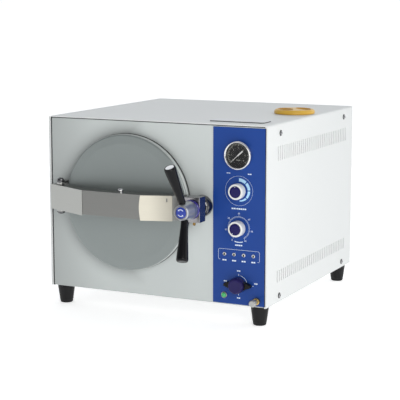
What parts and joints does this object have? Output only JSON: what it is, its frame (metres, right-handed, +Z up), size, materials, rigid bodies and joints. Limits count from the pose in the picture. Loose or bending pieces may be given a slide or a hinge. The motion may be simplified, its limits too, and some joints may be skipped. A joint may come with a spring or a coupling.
{
  "type": "benchtop autoclave",
  "caption": "Benchtop steam steriliser with a round swing door, cross-bar screw handle, control column with gauge and dials, water filler cap and rubber feet.",
  "frame": {"origin": "centre of the bounding box at the level of the feet's undersides", "axes": "+Z up, +X to the operator's right, +Y from the operator into the machine; the door and controls face -Y"},
  "size_m": [0.4856, 0.6258, 0.3983],
  "materials": {
    "cover_paint": "satin",
    "pan_steel": "satin",
    "frame_steel": "satin",
    "rear_paint": "satin",
    "front_paint": "satin",
    "panel_blue": "gloss",
    "lid_paint": "satin",
    "tank_plastic": "satin",
    "cap_amber": "gloss",
    "chamber_steel": "brushed",
    "insulation": "matte",
    "heater_steel": "satin",
    "rack_steel": "satin",
    "tray_steel": "satin",
    "door_steel": "satin",
    "plate_steel": "brushed",
    "gasket_rubber": "matte",
    "stud_steel": "satin",
    "bar_steel": "brushed",
    "bar_cover_steel": "satin",
    "bright_chrome": "polished",
    "hinge_steel": "satin",
    "block_chrome": "polished",
    "catch_brass": "polished",
    "spindle_steel": "satin",
    "hub_chrome": "polished",
    "hub_cap_blue": "gloss",
    "grip_black": "gloss",
    "gauge_steel": "polished",
    "pointer_white": "matte",
    "gauge_glass": "clear",
    "knob_white": "gloss",
    "unit_black": "matte",
    "selector_blue": "gloss",
    "valve_brass": "satin",
    "lamp_green": "gloss",
    "button_green": "gloss",
    "drain_brass": "polished",
    "inlet_black": "matte",
    "pipe_copper": "satin",
    "foot_rubber": "matte",
    "screw_chrome": "polished"
  },
  "bodies": {
    "cabinet": {"outer_cover": "cover_paint", "base_pan": "pan_steel", "top_frame": "frame_steel", "rear_panel": "rear_paint", "front_panel": "front_paint", "control_panel": "panel_blue", "top_lid": "lid_paint", "water_tank": "tank_plastic", "chamber": "chamber_steel", "insulation_jacket": "insulation", "heater": "heater_steel", "tray_rack": "rack_steel", "tray_lower": "tray_steel", "tray_upper": "tray_steel", "hinge_bracket": "hinge_steel", "hinge_pin": "bright_chrome", "latch_seat": "bright_chrome", "gauge_case": "gauge_steel", "gauge_glass": "gauge_glass", "thermostat": "unit_black", "timer_unit": "unit_black", "selector_valve": "valve_brass", "indicator_board": "lamp_green", "drain_fitting": "drain_brass", "safety_valve": "valve_brass", "power_inlet": "inlet_black", "steam_pipe": "pipe_copper", "foot_front_left": "foot_rubber", "foot_rear_left": "foot_rubber", "foot_front_right": "foot_rubber", "foot_rear_right": "foot_rubber", "cover_screw_left_lower_1": "screw_chrome", "cover_screw_left_lower_2": "screw_chrome", "cover_screw_left_upper_1": "screw_chrome", "cover_screw_left_upper_2": "screw_chrome", "cover_screw_right_lower_1": "screw_chrome", "cover_screw_right_lower_2": "screw_chrome", "cover_screw_right_upper_1": "screw_chrome", "cover_screw_right_upper_2": "screw_chrome"},
    "door": {"door_cover": "door_steel", "door_plate": "plate_steel", "door_gasket": "gasket_rubber", "door_stud": "stud_steel", "door_bar": "bar_steel", "bar_cover": "bar_cover_steel", "stud_pin": "bright_chrome", "latch_block": "block_chrome"},
    "handle": {"spindle": "spindle_steel", "handle_hub": "hub_chrome", "hub_cap": "hub_cap_blue", "grip_upper": "grip_black", "grip_lower": "grip_black"},
    "catch": {"latch_catch": "catch_brass"},
    "pointer": {"gauge_pointer": "pointer_white"},
    "temp_dial": {"temp_knob": "knob_white"},
    "timer_dial": {"timer_knob": "knob_white"},
    "selector": {"selector_knob": "selector_blue"},
    "button": {"power_button": "button_green"},
    "drain": {"drain_knob": "bright_chrome"},
    "filler": {"filler_cap": "cap_amber"}
  },
  "joints": [
    {"name": "door_swing", "type": "hinge", "parent": "cabinet", "child": "door", "pos_m": [-0.196, -0.21613, 0.226], "axis": [0, 0, -1], "range_deg": [0, 130]},
    {"name": "handle_turn", "type": "hinge", "parent": "door", "child": "handle", "pos_m": [0.107, -0.24713, 0.2285], "axis": [0, -1, 0], "range_deg": [0, 540]},
    {"name": "catch_press", "type": "slide", "parent": "door", "child": "catch", "axis": [0, 0, 1], "range_m": [0, 0.004], "stiffness_N_per_m": 300, "springref_m": -0.003},
    {"name": "pointer_turn", "type": "hinge", "parent": "cabinet", "child": "pointer", "pos_m": [0.1833, -0.19113, 0.3306], "axis": [0, 1, 0], "range_deg": [0, 270], "stiffness_Nm_per_rad": 0.002},
    {"name": "temp_turn", "type": "hinge", "parent": "cabinet", "child": "temp_dial", "pos_m": [0.1833, -0.19713, 0.2622], "axis": [0, 1, 0], "range_deg": [0, 270]},
    {"name": "timer_turn", "type": "hinge", "parent": "cabinet", "child": "timer_dial", "pos_m": [0.1833, -0.19713, 0.1905], "axis": [0, 1, 0], "range_deg": [0, 300]},
    {"name": "selector_turn", "type": "hinge", "parent": "cabinet", "child": "selector", "pos_m": [0.1835, -0.19713, 0.08], "axis": [0, 1, 0], "range_deg": [0, 270]},
    {"name": "power_press", "type": "slide", "parent": "cabinet", "child": "button", "axis": [0, 1, 0], "range_m": [0, 0.0025], "stiffness_N_per_m": 300, "springref_m": -0.002},
    {"name": "drain_turn", "type": "hinge", "parent": "cabinet", "child": "drain", "pos_m": [0.222, -0.20213, 0.0515], "axis": [0, -1, 0], "range_deg": [0, 540]},
    {"name": "filler_lift", "type": "slide", "parent": "cabinet", "child": "filler", "axis": [0, 0, 1], "range_m": [0, 0.03]}
  ]
}
